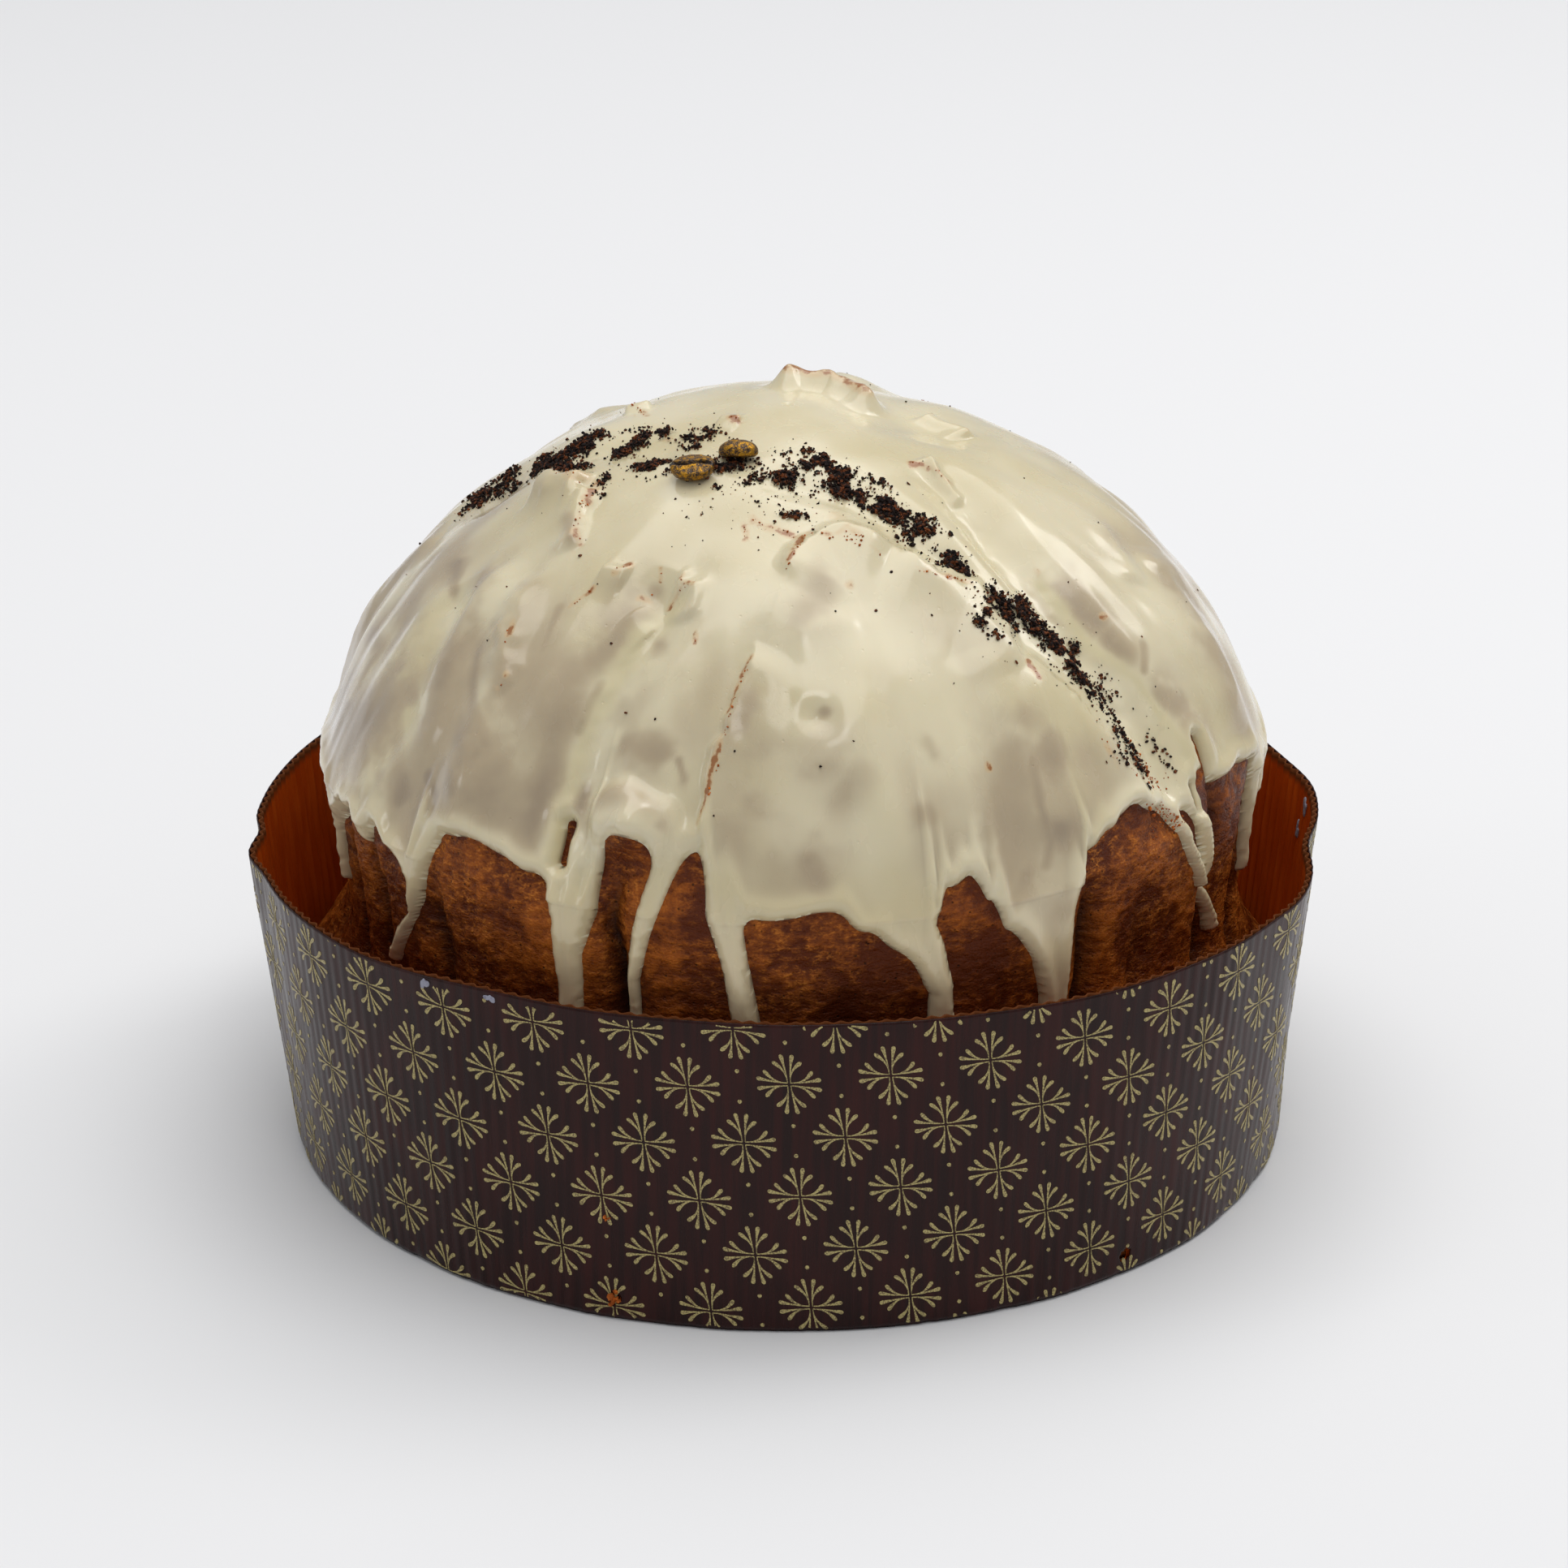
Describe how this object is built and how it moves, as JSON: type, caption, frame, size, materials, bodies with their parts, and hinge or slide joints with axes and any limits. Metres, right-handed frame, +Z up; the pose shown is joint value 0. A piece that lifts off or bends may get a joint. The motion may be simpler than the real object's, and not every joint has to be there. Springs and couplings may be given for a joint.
{
  "type": "panettone",
  "caption": "Tall domed sweet loaf with poured white icing, drips, ground coffee and coffee beans on top, standing in a low corrugated paper baking mould.",
  "frame": {"origin": "centre of the footprint on the surface it stands on", "axes": "+Z up, front towards -Y, +X to the right seen from the front, along the slightly longer side of the oval rim"},
  "size_m": [0.2239, 0.2109, 0.16],
  "materials": {
    "mould_paper": "varnished brown corrugated baking paper, printed with a gold ornament",
    "base_paper": "matt brown corrugated baking paper",
    "crust": "matt baked crust, finely wrinkled",
    "glaze": "satin white icing",
    "coffee_bean": "roasted coffee bean dusted with gold",
    "ground_coffee": "dry coarse grounds"
  },
  "bodies": {
    "root": {"mould_wall": "mould_paper", "mould_base": "base_paper", "loaf": "crust", "glaze": "glaze", "coffee_bean_1": "coffee_bean", "coffee_bean_2": "coffee_bean", "coffee_crumb_01": "ground_coffee", "coffee_crumb_02": "ground_coffee", "coffee_crumb_03": "ground_coffee", "coffee_crumb_04": "ground_coffee", "coffee_crumb_05": "ground_coffee", "coffee_crumb_06": "ground_coffee", "coffee_crumb_07": "ground_coffee", "coffee_crumb_08": "ground_coffee", "coffee_crumb_09": "ground_coffee", "coffee_crumb_10": "ground_coffee", "coffee_crumb_11": "ground_coffee", "coffee_crumb_12": "ground_coffee", "coffee_crumb_13": "ground_coffee", "coffee_crumb_14": "ground_coffee", "coffee_crumb_15": "ground_coffee", "coffee_crumb_16": "ground_coffee", "coffee_crumb_17": "ground_coffee", "coffee_crumb_18": "ground_coffee", "coffee_crumb_19": "ground_coffee", "coffee_crumb_20": "ground_coffee", "coffee_crumb_21": "ground_coffee", "coffee_crumb_22": "ground_coffee", "coffee_crumb_23": "ground_coffee", "coffee_crumb_24": "ground_coffee", "coffee_crumb_25": "ground_coffee", "coffee_crumb_26": "ground_coffee", "coffee_crumb_27": "ground_coffee", "glaze_drop_1": "glaze", "glaze_drop_2": "glaze"}
  },
  "joints": []
}
